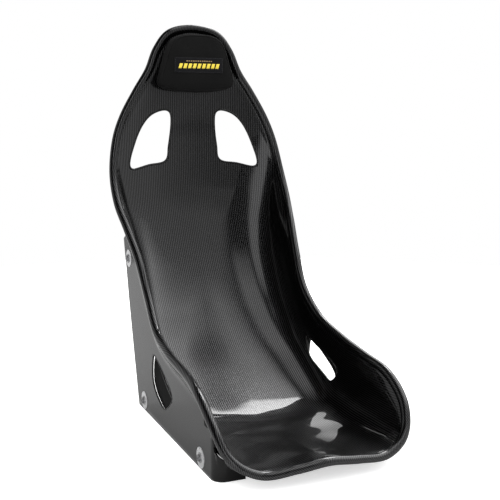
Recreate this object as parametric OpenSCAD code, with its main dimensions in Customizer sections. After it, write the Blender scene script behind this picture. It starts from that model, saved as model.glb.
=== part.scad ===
// Racing bucket seat with side mounting: a carbon shell with a rolled rim, two side panels with
// their bolts and washers, and a head pad held on by hook-and-loop strips.
// Frame: +Z up, the sitter faces -Y, X is across the seat, floor at z = 0. Sizes in millimetres.

/* [Overall] */
// Height of the seat above the floor
seat_height = 860; // [810:5:910]
// Rim crest to rim crest across the shoulders
shoulder_width = 420; // [390:2:460]
// Rim crest to rim crest across the hips
hip_width = 370; // [350:2:400]
// Rim crest to rim crest across the front of the thighs
thigh_width = 394; // [370:2:420]

/* [Shell] */
// Thickness of the laminate
skin = 3; // [2.4:0.1:4]
// Radius of the rolled rim
bead = 9; // [7:0.5:11]
// Length of wall behind the rim that the roll closes on
roll_depth = 21; // [18:1:26]
// Height of the ridge between the thighs at the front lip
ridge = 9; // [0:1:14]

/* [Side panels] */
// Distance from the centre plane to a panel's outer face
panel_face = 185.3; // [180:0.1:190]
// Thickness of a panel
panel_skin = 3; // [2.4:0.1:4]
// Height of the two lower bolts above the floor
low_bolt_z = 22; // [18:1:30]
// Distance between the two lower bolts
bolt_spacing = 365; // [340:5:380]

/* [Fasteners] */
// Diameter of the wide steel washers
wide_washer = 40; // [30:1:44]
// Diameter of the rubber washers behind them
rubber_washer = 36; // [28:1:40]
// Diameter of the small steel washers
small_washer = 20; // [16:1:24]
// Shank diameter of the bolts
bolt_d = 8; // [8:1:10]

/* [Head pad] */
// Height of the head pad
pad_height = 136; // [120:2:140]
// Thickness of the pad from its backing board to its face
pad_depth = 36; // [28:1:42]
// Width of the label
label_width = 118; // [90:2:124]
// Height of the label
label_height = 35; // [28:1:40]

/* [Hidden] */

// The outlines are drawn from a plane this far in front of the origin's, so that the whole seat
// ends up centred on the origin.
datum_y = 5.6;
module placed() {
    translate([0, datum_y, 0])
        children();
}

half_shoulder = shoulder_width / 2;
half_hip = hip_width / 2;
half_thigh = thigh_width / 2;
head_y = 336;
back_y = 345;
lift = seat_height - 860;

// Crest of the rolled rim, from the top of the head down one side to the front lip: [x, y, z].
RIM = [
    [0, head_y + 2, 850 + lift],
    [57, head_y, 838 + lift],
    [90, head_y - 2, 800 + lift],
    [112, head_y - 5, 750 + lift],
    [143, head_y - 9, 702 + lift],
    [176, head_y - 13, 645 + lift],
    [half_shoulder - 13, 315, 590 + lift],
    [half_shoulder - 1, 297, 520 + lift],
    [half_shoulder, 260, 455],
    [half_shoulder - 9, 214, 400],
    [half_hip + 5, 163, 334],
    [half_hip, 114, 262],
    [half_hip + 5, 42, 208],
    [half_thigh - 4, -50, 184],
    [half_thigh - 5, -150, 170],
    [half_thigh, -235, 154],
    [half_thigh - 4, -302, 114],
    [half_thigh - 25, -334, 66],
    [half_thigh - 72, -349, 38],
    [half_thigh - 135, -357, 42],
    [0, -361, 49]
];

// Middle of the shell's inside face beside each rim point: [y, z, direction, squareness].
// The direction is the way the wall rises, in degrees above level forwards.
// The squareness is the exponent of the cross-section: 2 is an ellipse, 5 is nearly a box.
SPINE = [
    [back_y, 800 + lift, 0, 4],
    [back_y, 796 + lift, 0, 4],
    [back_y, 784 + lift, 0, 4],
    [back_y, 748 + lift, 0, 4],
    [back_y + 1, 702 + lift, 0, 2.6],
    [back_y + 4, 645 + lift, 2, 1.7],
    [back_y + 8, 588 + lift, 4, 1.6],
    [back_y + 9, 518, 6, 1.9],
    [back_y, 448, 8, 2.6],
    [back_y - 22, 382, 11, 3.2],
    [back_y - 62, 302, 16, 3.8],
    [back_y - 127, 208, 30, 4.4],
    [129, 119, 49, 5.8],
    [-30, 34, 72, 6.4],
    [-112, 23, 76, 5.4],
    [-200, 24, 78, 5],
    [-262, 28, 81, 4.4],
    [-296, 30, 86, 3.8],
    [-308, 31, 90, 3.4],
    [-313, 31.5, 90, 3],
    [-314, 32, 90, 3]
];

// Rows along the shell on each side, and points across a row from the middle to the roll.
HALF = 40;
LAST = len(RIM) - 1;
WALL = 11;
// Gap between the shell's wall and a side panel, and how far out the wall's inside face may stand.
wall_gap = 0.4;
wall_limit = panel_face - panel_skin - skin - wall_gap;
// How far the wall may stand outside the panel's inner face: nothing from the hips forwards.
ease = 4;
function slack(u) = let (a = max(0, min(1, (9.4 - u) / 3.4)), b = max(0, min(1, u - 16.5)))
    40 * (a * a + b * b);

function unit(v) = v / norm(v);
function mirrored(p) = len(p) == 3 ? [-p[0], p[1], p[2]] : p;
// Point of a list before its first or after its last, reflected in the centre plane.
function around(list, i) = i < 0 ? mirrored(list[-i])
    : i > len(list) - 1 ? mirrored(list[2 * (len(list) - 1) - i]) : list[i];
// Smooth curve through a list of points, at the position u counted in points.
function along(list, u) =
    let (i = min(len(list) - 2, floor(u)), f = u - i)
    let (a = around(list, i - 1), b = list[i], c = list[i + 1], d = around(list, i + 2))
    b + f * (c - a) / 2 + f * f * (a - 2.5 * b + 2 * c - d / 2)
        + f * f * f * (3 * (b - c) + d - a) / 2;

function rise(u) = let (a = along(SPINE, u)[2]) [0, -cos(a), sin(a)];
function run(u) = unit(along(RIM, min(LAST, u + 0.02)) - along(RIM, max(0, u - 0.02)));
function outward(u) = unit(cross(rise(u), run(u)));
function upward(u) = unit(cross(run(u), outward(u)));
function bead_centre(u) = along(RIM, u) - bead * upward(u);
function inner_edge(u) = bead_centre(u) - bead * outward(u);
function middle(u) = let (s = along(SPINE, u)) [0, s[0], s[1]];

// Low ridge in the middle of the pan, dying away towards the back.
function ridge_at(p) = let (run_in = max(0, min(1, (-p[1] - 150) / 150)))
    ridge * run_in * run_in * exp(-p[0] * p[0] / 2400);

// Point of the cross-section at u, where turn goes from 0 in the middle to 90 at the rim.
function section(u, turn) =
    let (c = middle(u), e = inner_edge(u), up = rise(u), n = along(SPINE, u)[3])
    let (depth = (e - c) * up, side = e - c - depth * up)
    let (across = pow(sin(turn), 2 / n), high = 1 - pow(max(0, cos(turn)), 2 / n))
    let (p = c + across * side + high * depth * up)
    let (limit = wall_limit + slack(u) + max(0, e[0] - wall_limit + 12) * pow(high, 9))
    [p[0] - ease * ln(1 + exp((p[0] - limit) / ease)), p[1], p[2] + ridge_at(p)];

// Turns that place the rows: WALL + 1 even rows, then three close ones up to the rim.
function spread(u) =
    let (turns = [for (k = [0:30]) 90 * pow(k / 30, 0.8)])
    let (points = [for (a = turns) section(u, a)])
    let (steps = [for (k = [0:30]) k == 0 ? 0 : norm(points[k] - points[k - 1])])
    let (sums = [for (k = 0, s = 0; k <= 30; k = k + 1, s = s + (k <= 30 ? steps[k] : 0)) s])
    let (table = [for (k = [0:30]) [sums[k], turns[k]]], all = sums[30])
    let (even = all - roll_depth)
    [for (k = [0:WALL]) lookup(even * k / WALL, table),
     for (k = [1:3]) lookup(even + roll_depth * k / 3, table)];

// Inside face of one cross-section, and the outward normals of that face.
function face_row(u) = let (t = spread(u)) [for (a = t) section(u, a)];
function row_normals(a, b, c, up) = [
    for (k = [0:len(b) - 1])
        let (across = b[min(len(b) - 1, k + 1)] - b[max(0, k - 1)], down = c[k] - a[k])
        let (n = cross(across, down))
            k > 0 ? unit(n) : norm(down) > 0.01 ? unit([0, n[1], n[2]]) : -up
];
function flip(p) = [-p[0], p[1], p[2]];

STEPS = [for (i = [0:HALF]) LAST * i / HALF];
ROWS = [for (u = STEPS) face_row(u)];
NORMALS = [
    for (i = [0:HALF])
        let (b = ROWS[i])
        let (a = i == 0 ? [for (p = ROWS[1]) flip(p)] : ROWS[i - 1])
        let (c = i == HALF ? [for (p = ROWS[HALF - 1]) flip(p)] : ROWS[i + 1])
        row_normals(a, b, c, rise(STEPS[i]))
];

// Rolled rim from the inner edge over the crest and back to the wall, as a list of points.
function rim_row(i) =
    let (u = STEPS[i], m = bead_centre(u), o = outward(u), up = upward(u), r = ROWS[i])
    let (h = r[WALL] + (skin + panel_skin + wall_gap) * NORMALS[i][WALL])
    let (g = m + bead * (cos(45) * o - sin(45) * up))
    let (bend = h + roll_depth * 0.55 * unit(r[WALL + 2] - r[WALL]))
    concat(
        [for (a = [30:30:210]) m + bead * (-cos(a) * o + sin(a) * up)],
        [g],
        [for (s = [0.3, 0.65, 1]) (1 - s) * (1 - s) * g + 2 * s * (1 - s) * bend + s * s * h]
    );
// One full row of the shell: inside face, rolled rim and outside face.
function shell_row(i) = concat(
    ROWS[i],
    rim_row(i),
    [for (k = [WALL:-1:0]) ROWS[i][k] + skin * NORMALS[i][k]]
);
// One row of a slab between two distances behind the inside face.
function slab_row(i, front, back) = concat(
    [for (k = [0:WALL]) ROWS[i][k] + front * NORMALS[i][k]],
    [for (k = [WALL:-1:0]) ROWS[i][k] + back * NORMALS[i][k]]
);

// Closed body from one row per step on one side and the same rows mirrored on the other.
module loop_body(rows) {
    n = len(rows) - 1;
    cols = len(rows[0]);
    points = [
        for (i = [0:2 * n - 1])
            for (p = (i <= n ? rows[i] : rows[2 * n - i])) i <= n ? p : flip(p)
    ];
    function own(i) = i % (2 * n);
    function seam(i) = let (a = own(i)) a <= n ? a : 2 * n - a;
    function at(i, j) = (j == 0 || j == cols - 1 ? seam(i) : own(i)) * cols + j;
    faces = [
        for (i = [0:2 * n - 1])
            for (j = [0:cols - 2])
                let (a = at(i, j), b = at(i, j + 1), c = at(i + 1, j + 1), d = at(i + 1, j))
                    for (f = [[a, b, c], [a, c, d]])
                        if (f[0] != f[1] && f[1] != f[2] && f[0] != f[2]) f
    ];
    polyhedron(points = points, faces = faces, convexity = 10);
}

// Shoulder-belt slot on the right, seen from the front, as [x, z] points.
SHOULDER_SLOT = [
    [70, 542], [112, 534], [150, 525], [160, 529], [158, 548], [150, 572],
    [139, 600], [126, 624], [110, 643], [92, 654], [70, 659], [58, 652], [57, 620], [63, 575]
];
// Lap-belt slots seen from the side, as [y, z] points: the shell's, and the panel's lower one.
SHELL_LAP_SLOT = [
    [84, 150], [38, 138], [-4, 128], [-40, 118], [-57, 108], [-58, 98], [-45, 85], [-30, 76],
    [-14, 80], [6, 87], [28, 95], [50, 104], [66, 114], [78, 128], [86, 146]
];
PANEL_LAP_SLOT = [
    [76, 144], [36, 131], [3, 117], [-27, 102], [-40, 90], [-38, 78], [-19, 62], [4, 48],
    [16, 46], [34, 50], [64, 63], [84, 79], [91, 98], [89, 121], [84, 138]
];

module shoulder_prism(grow, front, back) {
    for (side = [-1, 1])
        translate([0, back, 0])
            rotate([90, 0, 0])
                linear_extrude(back - front)
                    offset(delta = grow)
                        polygon([for (p = SHOULDER_SLOT) [side * p[0], p[1]]]);
}
module lap_prism(outline) {
    rotate([90, 0, 90])
        translate([0, 0, -230])
            linear_extrude(460)
                polygon(outline);
}

module seat_shell() {
    placed() color([0.05, 0.05, 0.06])
        difference() {
            union() {
                loop_body([for (i = [0:HALF]) shell_row(i)]);
                intersection() {
                    loop_body([for (i = [0:HALF]) slab_row(i, -2.5, skin + 5)]);
                    shoulder_prism(4, 250, 400);
                }
            }
            shoulder_prism(0, 240, 420);
            lap_prism(SHELL_LAP_SLOT);
        }
}

// Outline of a side panel in [y, z]: floor line, then up the front, under the rim and down the back.
// Towards the shoulder and the front the wall leans out sooner, so there the panel stops lower.
function under_rim(u) =
    let (i = u * HALF / LAST, a = floor(i), f = i - a)
    let (p = ROWS[a][WALL] * (1 - f) + ROWS[min(HALF, a + 1)][WALL] * f, up = rise(u))
    let (behind = max(0, min(1, (10.4 - u) / 1.4)), ahead = max(0, min(1, u - 12)))
    let (drop = 3 + 24 * pow(behind, 1.3) + 7 * ahead)
    [p[1], p[2]] - drop * [up[1], up[2]];
// Radius and height of the panel's rounded front corner, and how far it runs into the flat plate.
front_corner = 20;
corner_height = 84;
corner_overlap = 0.4;
panel_front = -283;
plate_front = panel_front + front_corner - corner_overlap;
PANEL = concat(
    [[200, 0], [plate_front, 0], [plate_front, corner_height]],
    [for (u = [15.25:-0.25:9]) under_rim(u)],
    [[304, 366], [291, 317], [268, 227], [239, 128]]
);

// Outline of the panel's turned-in front edge in [x, z], its top following the shell's underside.
return_reach = 56;
return_width = return_reach - front_corner + corner_overlap;
FRONT_RETURN = [
    [panel_face - return_reach, 0], [panel_face, 0], [panel_face, corner_height],
    [panel_face - 3.3, 70], [panel_face - 6.6, 50], [panel_face - 9.3, 46.2], [panel_face - 15.3, 41],
    [panel_face - 25.3, 34], [panel_face - 35.3, 30.5], [panel_face - 45.3, 27.6],
    [panel_face - return_reach, 25.8]
];

// Bolt centres as [y, z]: the two lower ones and the one near the waist.
rear_bolt_y = 155;
BOLTS = [
    [rear_bolt_y, low_bolt_z],
    [rear_bolt_y - bolt_spacing, low_bolt_z],
    [262, 326]
];

// Places its children at each bolt of one side, with +Z pointing out of the panel's face.
module at_bolts(side, out = 0) {
    for (b = BOLTS)
        translate([side * (panel_face + out), b[0], b[1]])
            rotate([0, side * 90, 0])
                children();
}
module ring(d, hole, h) {
    difference() {
        cylinder(d = d, h = h, $fn = 64);
        translate([0, 0, -1])
            cylinder(d = hole, h = h + 2, $fn = 64);
    }
}

module side_panel(side) {
    placed() color([0.16, 0.16, 0.17])
        difference() {
            union() {
                translate([side > 0 ? panel_face - panel_skin : -panel_face, 0, 0])
                    rotate([90, 0, 90])
                        linear_extrude(panel_skin)
                            polygon(PANEL);
                mirror([side > 0 ? 0 : 1, 0, 0])
                    intersection() {
                        union() {
                            translate([panel_face - front_corner, panel_front + front_corner, 0])
                                rotate([0, 0, -90])
                                    rotate_extrude(angle = 90, $fn = 96)
                                        translate([front_corner - panel_skin, 0])
                                            square([panel_skin, corner_height]);
                            translate([panel_face - return_reach, panel_front, 0])
                                cube([return_width, panel_skin, corner_height]);
                        }
                        translate([0, panel_front + front_corner, 0])
                            rotate([90, 0, 0])
                                linear_extrude(front_corner)
                                    polygon(FRONT_RETURN);
                    }
            }
            lap_prism(PANEL_LAP_SLOT);
            at_bolts(side, -panel_skin - 1)
                cylinder(d = bolt_d + 0.6, h = panel_skin + 2, $fn = 64);
        }
}
module left_side_panel() { side_panel(-1); }
module right_side_panel() { side_panel(1); }

// Depth of the threaded inserts, and thickness of the rubber, wide and small washers.
insert_depth = 7.5;
rubber = 2;
steel = 2;
thin = 1.6;

module inserts(side) {
    placed() color([0.62, 0.63, 0.65])
        at_bolts(side, -panel_skin - insert_depth) {
            ring(16, bolt_d, insert_depth);
            translate([0, 0, insert_depth - 1.5])
                ring(30, bolt_d, 1.5);
        }
}
module left_threaded_inserts() { inserts(-1); }
module right_threaded_inserts() { inserts(1); }

module rubber_washers(side) {
    placed() color([0.03, 0.03, 0.03])
        at_bolts(side)
            ring(rubber_washer, bolt_d + 0.4, rubber);
}
module left_rubber_washers() { rubber_washers(-1); }
module right_rubber_washers() { rubber_washers(1); }

module wide_washers(side) {
    placed() color([0.75, 0.75, 0.76])
        at_bolts(side, rubber)
            ring(wide_washer, bolt_d + 0.4, steel);
}
module left_wide_washers() { wide_washers(-1); }
module right_wide_washers() { wide_washers(1); }

module small_washers(side) {
    placed() color([0.7, 0.7, 0.71])
        at_bolts(side, rubber + steel)
            ring(small_washer, bolt_d + 0.4, thin);
}
module left_small_washers() { small_washers(-1); }
module right_small_washers() { small_washers(1); }

// Button-head socket screw: shank, domed head and six-sided recess.
module button_bolt() {
    under = rubber + steel + thin;
    head_d = 14;
    head_h = 4.4;
    shank = under + panel_skin + insert_depth;
    difference() {
        union() {
            translate([0, 0, -shank])
                cylinder(d = bolt_d - 0.1, h = shank + 0.5, $fn = 64);
            rotate_extrude($fn = 96)
                polygon(concat(
                    [[0, 0], [head_d / 2, 0], [head_d / 2, 1]],
                    [for (a = [15:15:75]) [3.6 + 3.4 * cos(a), 1 + (head_h - 1) * sin(a)]],
                    [[3.6, head_h], [0, head_h]]
                ));
        }
        translate([0, 0, head_h - 2.6])
            cylinder(d = 5 / cos(30), h = 3, $fn = 6);
    }
}
module bolts(side) {
    placed() color([0.55, 0.55, 0.57])
        at_bolts(side, rubber + steel + thin)
            button_bolt();
}
module left_mounting_bolts() { bolts(-1); }
module right_mounting_bolts() { bolts(1); }

// Head pad, from the shell forwards: hooks, loops, board, foam, cover, label.
strip = 1.6;
board = 3;
cover = 2;
hooks_front = back_y - 0.3 - strip;
loops_front = hooks_front - strip;
board_front = loops_front - board;
pad_front = board_front - pad_depth;
pad_top = 836 + lift;
pad_base = pad_top - pad_height;

// Right half of the pad's outline as [x, share of the pad's height].
PAD_HALF = [
    [0, 1], [24, 0.995], [45, 0.96], [62, 0.88], [72, 0.75], [80, 0.56], [88, 0.36],
    [93, 0.2], [90, 0.115], [78, 0.065], [55, 0.03], [28, 0.008], [0, 0]
];
PAD_STEPS = 28;
function pad_point(t) = let (p = along([for (q = PAD_HALF) [q[0], 0, q[1]]], t * 12 / PAD_STEPS))
    [p[0], pad_base + p[2] * pad_height];
PAD_OUTLINE = concat(
    [for (t = [0:PAD_STEPS]) pad_point(t)],
    [for (t = [PAD_STEPS - 1:-1:1]) [-pad_point(t)[0], pad_point(t)[1]]]
);
pad_centre = [0, pad_base + 0.46 * pad_height];
// The outline drawn in by a distance, towards its centre line.
function drawn_in(p, by) = let (v = p - pad_centre) pad_centre + v * (1 - by / norm(v));

// Rings that turn a rounded front edge, each as [distance drawn in, y], from the side to the face.
EDGE_TURNS = [0, 18, 36, 54, 72, 90];
function rounded(inset, front, edge) =
    [for (a = EDGE_TURNS) [inset + edge * (1 - cos(a)), front + edge * (1 - sin(a))]];
function reversed(list) = [for (i = [len(list) - 1:-1:0]) list[i]];

// Closed body through a list of rings of the pad's outline, filled across its first and last ring.
module ring_body(rings) {
    n = len(PAD_OUTLINE);
    last = len(rings) - 1;
    points = concat(
        [for (r = rings) for (p = PAD_OUTLINE) let (q = drawn_in(p, r[0])) [q[0], r[1], q[1]]],
        [[0, rings[0][1], pad_centre[1]], [0, rings[last][1], pad_centre[1]]]
    );
    faces = concat(
        [for (r = [0:last - 1]) for (i = [0:n - 1])
            let (a = r * n + i, b = r * n + (i + 1) % n)
                for (f = [[a, b + n, a + n], [a, b, b + n]]) f],
        [for (i = [0:n - 1]) [(i + 1) % n, i, len(points) - 2]],
        [for (i = [0:n - 1]) [last * n + i, last * n + (i + 1) % n, len(points) - 1]]
    );
    polyhedron(points = points, faces = faces, convexity = 4);
}

module strips(front) {
    for (x = [-58, 32])
        translate([x, front, pad_base + 20])
            cube([26, strip, 92]);
}
module pad_hook_strips() {
    placed() color([0.04, 0.04, 0.04])
        strips(hooks_front);
}
module pad_loop_strips() {
    placed() color([0.07, 0.07, 0.07])
        strips(loops_front);
}
module pad_backing() {
    placed() color([0.08, 0.08, 0.08])
        translate([0, board_front + board, 0])
            rotate([90, 0, 0])
                linear_extrude(board)
                    polygon([for (p = PAD_OUTLINE) drawn_in(p, cover + 0.2)]);
}
module pad_foam() {
    placed() color([0.2, 0.2, 0.2])
        ring_body(concat(
            [[cover + 0.2, board_front - 0.1]],
            rounded(cover + 0.2, pad_front + cover + 0.1, 10)
        ));
}
module pad_cover() {
    placed() color([0.05, 0.05, 0.05])
        ring_body(concat(
            reversed(rounded(cover, pad_front + cover, 10)),
            [[cover, board_front + board], [0, board_front + board]],
            rounded(0, pad_front, 12)
        ));
}
// Thin cord sewn round the edge of the pad's face.
module pad_piping() {
    r = 1.5;
    n = len(PAD_OUTLINE);
    sides = 6;
    y = pad_front + 12;
    points = [
        for (p = PAD_OUTLINE) for (k = [0:sides - 1])
            let (a = 360 * k / sides, q = drawn_in(p, -r - 0.1 + r * cos(a)))
                [q[0], y + r * sin(a), q[1]]
    ];
    faces = [
        for (i = [0:n - 1]) for (k = [0:sides - 1])
            let (a = i * sides + k, b = i * sides + (k + 1) % sides)
                let (c = ((i + 1) % n) * sides + (k + 1) % sides, d = ((i + 1) % n) * sides + k)
                    for (f = [[a, c, b], [a, d, c]]) f
    ];
    placed() color([0.12, 0.12, 0.12])
        polyhedron(points = points, faces = faces, convexity = 6);
}

label_z = pad_base + 0.465 * pad_height;
label_thick = 1;
module on_face(h, y) {
    translate([0, y, 0])
        rotate([90, 0, 0])
            linear_extrude(h)
                children();
}
module pad_label() {
    placed() color([0.02, 0.02, 0.02])
        on_face(label_thick, pad_front)
            translate([-label_width / 2, label_z - label_height / 2])
                square([label_width, label_height]);
}
// Plain row of slanted bars across the middle of the label.
bars = 9;
bar_height = 11;
module label_band() {
    pitch = (label_width - 16) / bars;
    placed() color([0.95, 0.85, 0.05])
        on_face(0.5, pad_front - label_thick)
            for (i = [0:bars - 1])
                translate([-(bars - 1) * pitch / 2 + i * pitch, label_z])
                    polygon([
                        [-pitch * 0.5, -bar_height / 2], [pitch * 0.12, -bar_height / 2],
                        [pitch * 0.42, bar_height / 2], [-pitch * 0.2, bar_height / 2]
                    ]);
}
// Stitches along the label's edge.
module label_stitching() {
    stitch = 3;
    gap = 5;
    across = floor((label_width - 6) / gap);
    up = floor((label_height - 6) / gap);
    placed() color([0.1, 0.1, 0.1])
        on_face(0.4, pad_front - label_thick) {
            for (i = [0:across - 1], z = [-1, 1])
                translate([(i - (across - 1) / 2) * gap, label_z + z * (label_height / 2 - 2)])
                    square([stitch, 0.8], center = true);
            for (i = [0:up - 1], x = [-1, 1])
                translate([x * (label_width / 2 - 2), label_z + (i - (up - 1) / 2) * gap])
                    square([0.8, stitch], center = true);
        }
}

seat_shell();
left_side_panel();
right_side_panel();
left_threaded_inserts();
right_threaded_inserts();
left_rubber_washers();
right_rubber_washers();
left_wide_washers();
right_wide_washers();
left_small_washers();
right_small_washers();
left_mounting_bolts();
right_mounting_bolts();
pad_hook_strips();
pad_loop_strips();
pad_backing();
pad_foam();
pad_cover();
pad_piping();
pad_label();
label_band();
label_stitching();
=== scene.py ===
"""Racing bucket seat: a finer shell, side panels and head pad built round the CAD frame."""
import math

import bmesh
import bpy
import numpy as np
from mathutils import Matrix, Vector
from mathutils.bvhtree import BVHTree


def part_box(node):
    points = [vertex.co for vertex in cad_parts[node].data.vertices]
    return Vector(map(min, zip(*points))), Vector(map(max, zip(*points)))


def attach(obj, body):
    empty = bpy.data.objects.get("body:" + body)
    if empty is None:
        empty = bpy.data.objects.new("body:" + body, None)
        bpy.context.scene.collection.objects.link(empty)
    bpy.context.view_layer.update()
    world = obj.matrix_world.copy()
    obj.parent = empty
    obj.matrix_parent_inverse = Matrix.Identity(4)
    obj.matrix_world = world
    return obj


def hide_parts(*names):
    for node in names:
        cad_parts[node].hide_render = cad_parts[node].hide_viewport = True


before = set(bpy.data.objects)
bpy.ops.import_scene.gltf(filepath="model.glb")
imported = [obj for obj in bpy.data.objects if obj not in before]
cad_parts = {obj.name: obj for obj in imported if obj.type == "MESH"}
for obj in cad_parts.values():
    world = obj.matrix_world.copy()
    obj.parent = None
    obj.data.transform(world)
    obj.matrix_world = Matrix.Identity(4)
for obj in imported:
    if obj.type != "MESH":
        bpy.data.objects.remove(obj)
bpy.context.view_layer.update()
scene = bpy.context.scene

# ---------------------------------------------------------------- sizes taken from the frame
MM = 0.001
shell_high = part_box("seat_shell")[1]
panel_low, panel_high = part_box("right_side_panel")
pad_low, pad_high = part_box("pad_cover")

# Sizes are in millimetres. The points below are drawn for a seat DRAWN_HEIGHT tall, with their
# origin DATUM_Y behind the frame's, and LIFT raises the upper ones to the frame's height.
DRAWN_HEIGHT = 859
DATUM_Y = 5.6
LIFT = shell_high.z / MM - DRAWN_HEIGHT
FACE_X = panel_high.x / MM
PANEL_FRONT = panel_low.y / MM
RIM_PAST_CREST = 9.9
HALF_SHOULDER = shell_high.x / MM - RIM_PAST_CREST
HALF_HIP = 185
HALF_THIGH = 197
HEAD_Y = 336
BACK_Y = 345
# Thickness of the shell and of the side panels, and the gap between them.
SKIN = 3
PANEL_SKIN = 3
WALL_GAP = 0.4
# Radius of the rolled rim, width of the strip of the face beside it, height of the thigh ridge.
BEAD = 9
ROLL = 21
RIDGE = 9
# Groove between the rolled rim and the face: depth, distance from the edge, half width.
GROOVE_DEPTH = 1.6
GROOVE_INSET = 4
GROOVE_REACH = 9

# ---------------------------------------------------------------- shape of the shell
# Crest of the rolled rim on the right half, from the top of the head to the middle of the lip,
# as x, y, z.
RIM = np.array([
    [0, HEAD_Y + 2, 850 + LIFT],
    [57, HEAD_Y, 838 + LIFT],
    [90, HEAD_Y - 2, 800 + LIFT],
    [112, HEAD_Y - 5, 750 + LIFT],
    [143, HEAD_Y - 9, 702 + LIFT],
    [176, HEAD_Y - 13, 645 + LIFT],
    [HALF_SHOULDER - 13, 315, 590 + LIFT],
    [HALF_SHOULDER - 1, 297, 520 + LIFT],
    [HALF_SHOULDER, 260, 455],
    [HALF_SHOULDER - 9, 214, 400],
    [HALF_HIP + 5, 163, 334],
    [HALF_HIP, 114, 262],
    [HALF_HIP + 5, 42, 208],
    [HALF_THIGH - 4, -50, 184],
    [HALF_THIGH - 5, -150, 170],
    [HALF_THIGH, -235, 154],
    [HALF_THIGH - 4, -302, 114],
    [HALF_THIGH - 25, -334, 66],
    [HALF_THIGH - 72, -349, 38],
    [HALF_THIGH - 135, -357, 42],
    [0, -361, 49],
], float)

# Middle of the inside face beside each rim point: y, z, direction the wall rises, squareness.
SPINE = np.array([
    [BACK_Y, 800 + LIFT, 0, 4],
    [BACK_Y, 796 + LIFT, 0, 4],
    [BACK_Y, 784 + LIFT, 0, 4],
    [BACK_Y, 748 + LIFT, 0, 4],
    [BACK_Y + 1, 702 + LIFT, 0, 2.6],
    [BACK_Y + 4, 645 + LIFT, 2, 1.7],
    [BACK_Y + 8, 588 + LIFT, 4, 1.6],
    [BACK_Y + 9, 518, 6, 1.9],
    [BACK_Y, 448, 8, 2.6],
    [BACK_Y - 22, 382, 11, 3.2],
    [BACK_Y - 62, 302, 16, 3.8],
    [BACK_Y - 127, 208, 30, 4.4],
    [129, 119, 49, 5.8],
    [-30, 34, 72, 6.4],
    [-112, 23, 76, 5.4],
    [-200, 24, 78, 5],
    [-262, 28, 81, 4.4],
    [-296, 30, 86, 3.8],
    [-308, 31, 90, 3.4],
    [-313, 31.5, 90, 3],
    [-314, 32, 90, 3],
], float)

# The half shell is a grid, with rows along the rim and columns from the middle to the rim. The
# columns past WALL lie in the strip beside the rim.
LAST = len(RIM) - 1
PER_STEP = 12
ROWS = LAST * PER_STEP
ACROSS = 72
WALL = ACROSS - 12
FINE_COLUMNS = 400
# Half width at which the walls stop short of the panels, and how softly they come to it.
WALL_LIMIT = FACE_X - PANEL_SKIN - SKIN - WALL_GAP
EASE = 4.0


def along(points, u):
    """Smooth curve through points at the positions u, reflected in the centre plane at its ends."""
    flip = np.ones(points.shape[1])
    if points.shape[1] == 3:
        flip[0] = -1
    padded = np.vstack([points[1] * flip, points, points[-2] * flip])
    i = np.minimum(len(points) - 2, np.floor(u).astype(int))
    f = (u - i)[:, None]
    a, b, c, d = padded[i], padded[i + 1], padded[i + 2], padded[i + 3]
    bend = a - 2.5 * b + 2 * c - d / 2
    twist = (3 * (b - c) + d - a) / 2
    return b + f * (c - a) / 2 + f * f * bend + f * f * f * twist


def unit(v):
    """Vectors scaled to length 1."""
    return v / np.maximum(1e-12, np.linalg.norm(v, axis=-1, keepdims=True))


def slack(u):
    """How far the walls may pass WALL_LIMIT above and ahead of the panels."""
    behind = np.clip((9.4 - u) / 3.4, 0, 1)
    ahead = np.clip(u - 16.5, 0, 1)
    return 40 * (behind**2 + ahead**2)


def rim_frame(u):
    """Centre of the rolled rim, its outward and upward directions, and the way the wall rises."""
    crest = along(RIM, u)
    step = along(RIM, np.minimum(LAST, u + 0.02)) - along(RIM, np.maximum(0, u - 0.02))
    angle = np.radians(along(SPINE, u)[:, 2])
    rise = np.stack([np.zeros(len(u)), -np.cos(angle), np.sin(angle)], axis=1)
    run = unit(step)
    out = unit(np.cross(rise, run))
    up = unit(np.cross(run, out))
    return crest - BEAD * up, out, up, rise


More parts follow.
